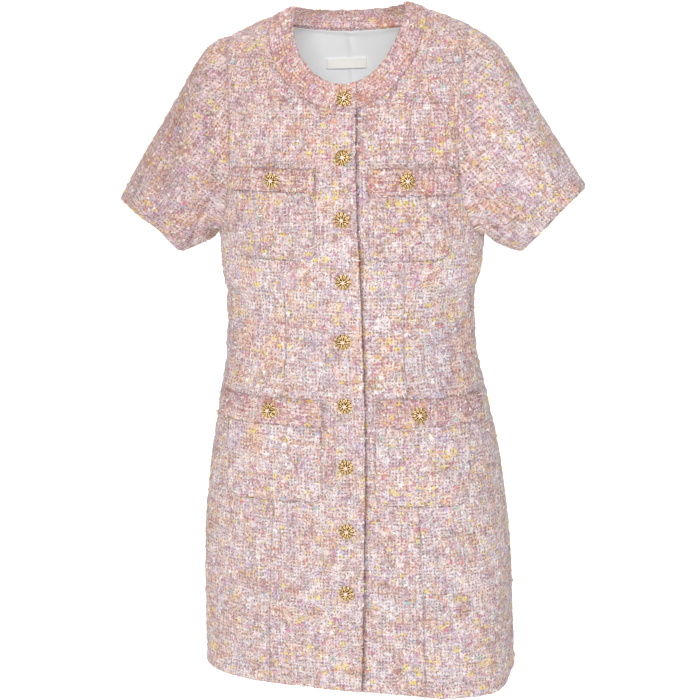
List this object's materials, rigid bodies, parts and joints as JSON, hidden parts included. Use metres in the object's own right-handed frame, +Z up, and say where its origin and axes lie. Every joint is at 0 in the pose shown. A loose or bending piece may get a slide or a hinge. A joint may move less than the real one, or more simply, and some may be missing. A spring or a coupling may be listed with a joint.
{
  "type": "tweed dress",
  "caption": "Short-sleeved boucle tweed mini dress, filled out, with a round neck, princess seams, flapped patch pockets and a full-length row of metal buttons.",
  "frame": {"origin": "between the shoulders, level with the neck ends of the shoulder seams, where the wearer's shoulders hold the dress", "axes": "+Z up, the front faces -Y, +X is the wearer's left"},
  "size_m": [0.6035, 0.2194, 0.8655],
  "materials": {
    "tweed": "woven boucle tweed of cream, pink, rose and grey yarns with yellow slubs",
    "tweed_trim": "the same tweed cut across, rosier, for the band and the flaps",
    "lining": "smooth pale grey-white lining",
    "label_tape": "bare white woven tape",
    "button_metal": "polished gold openwork flower round a small pale stone"
  },
  "bodies": {
    "root": {"back": "tweed", "back_lining": "lining", "neck_label": "label_tape", "neck_band": "tweed_trim", "centre_front_right": "tweed", "centre_front_left": "tweed", "side_front_right": "tweed", "side_front_left": "tweed", "sleeve_right": "tweed", "sleeve_left": "tweed", "breast_pocket_right": "tweed", "breast_pocket_left": "tweed", "hip_pocket_right": "tweed", "hip_pocket_left": "tweed", "breast_flap_right": "tweed_trim", "breast_flap_left": "tweed_trim", "hip_flap_right": "tweed_trim", "hip_flap_left": "tweed_trim", "front_button_1": "button_metal", "front_button_2": "button_metal", "front_button_3": "button_metal", "front_button_4": "button_metal", "front_button_5": "button_metal", "front_button_6": "button_metal", "front_button_7": "button_metal", "front_button_8": "button_metal", "front_button_9": "button_metal", "pocket_button_1": "button_metal", "pocket_button_2": "button_metal", "pocket_button_3": "button_metal", "pocket_button_4": "button_metal"}
  },
  "joints": []
}
